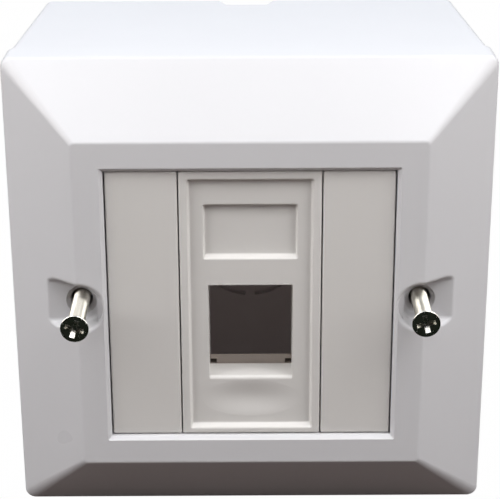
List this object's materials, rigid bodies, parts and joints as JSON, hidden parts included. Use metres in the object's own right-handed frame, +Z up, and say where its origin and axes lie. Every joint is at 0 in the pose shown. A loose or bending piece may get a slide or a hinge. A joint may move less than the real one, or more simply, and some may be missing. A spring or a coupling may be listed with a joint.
{
  "type": "fiber termination box",
  "caption": "Square surface wall box with a bevelled face plate, snap-in blanks, an open keystone module, and fibre guides and splice holder inside.",
  "frame": {"origin": "centre of the box's back face, on the wall", "axes": "+Z up, +X to the right seen from the front, +Y into the wall; the face plate faces -Y"},
  "size_m": [0.086, 0.0706, 0.086],
  "materials": {
    "box_plastic": "glossy white moulded urea",
    "insert_plastic": "satin, slightly warmer white",
    "screw_plate": "bright nickel plate",
    "brass": "machined",
    "guide_plastic": "satin white",
    "small_screws": "zinc plate",
    "shrink_sleeve": "clear heat-shrink",
    "rod_steel": "drawn",
    "pad_rubber": "matt"
  },
  "bodies": {
    "back_box": {"back_box": "box_plastic", "lug_inserts": "brass", "left_fibre_guide": "guide_plastic", "right_fibre_guide": "guide_plastic", "guide_screws": "small_screws", "splice_holder": "guide_plastic", "splice_holder_screws": "small_screws", "splice_sleeves": "shrink_sleeve", "splice_rods": "rod_steel", "clamp_pad": "pad_rubber"},
    "cable_clamp": {"cable_clamp": "guide_plastic", "clamp_screws": "small_screws"},
    "front_plate": {"front_plate": "box_plastic"},
    "left_blank": {"left_blank": "insert_plastic"},
    "right_blank": {"right_blank": "insert_plastic"},
    "keystone_module": {"keystone_module": "insert_plastic"},
    "left_plate_screw": {"left_plate_screw": "screw_plate"},
    "right_plate_screw": {"right_plate_screw": "screw_plate"}
  },
  "joints": [
    {"name": "plate_lift", "type": "slide", "parent": "back_box", "child": "front_plate", "axis": [0, -1, 0], "range_m": [0, 0.045]},
    {"name": "left_blank_unclip", "type": "slide", "parent": "front_plate", "child": "left_blank", "axis": [0, -1, 0], "range_m": [0, 0.012]},
    {"name": "right_blank_unclip", "type": "slide", "parent": "front_plate", "child": "right_blank", "axis": [0, -1, 0], "range_m": [0, 0.012]},
    {"name": "module_unclip", "type": "slide", "parent": "front_plate", "child": "keystone_module", "axis": [0, -1, 0], "range_m": [0, 0.014]},
    {"name": "left_screw_travel", "type": "slide", "parent": "front_plate", "child": "left_plate_screw", "axis": [0, -1, 0], "range_m": [-0.0129, 0.0046]},
    {"name": "right_screw_travel", "type": "slide", "parent": "front_plate", "child": "right_plate_screw", "axis": [0, -1, 0], "range_m": [-0.0115, 0.006]},
    {"name": "clamp_travel", "type": "slide", "parent": "back_box", "child": "cable_clamp", "axis": [0, -1, 0], "range_m": [-0.00055, 0.002]}
  ]
}
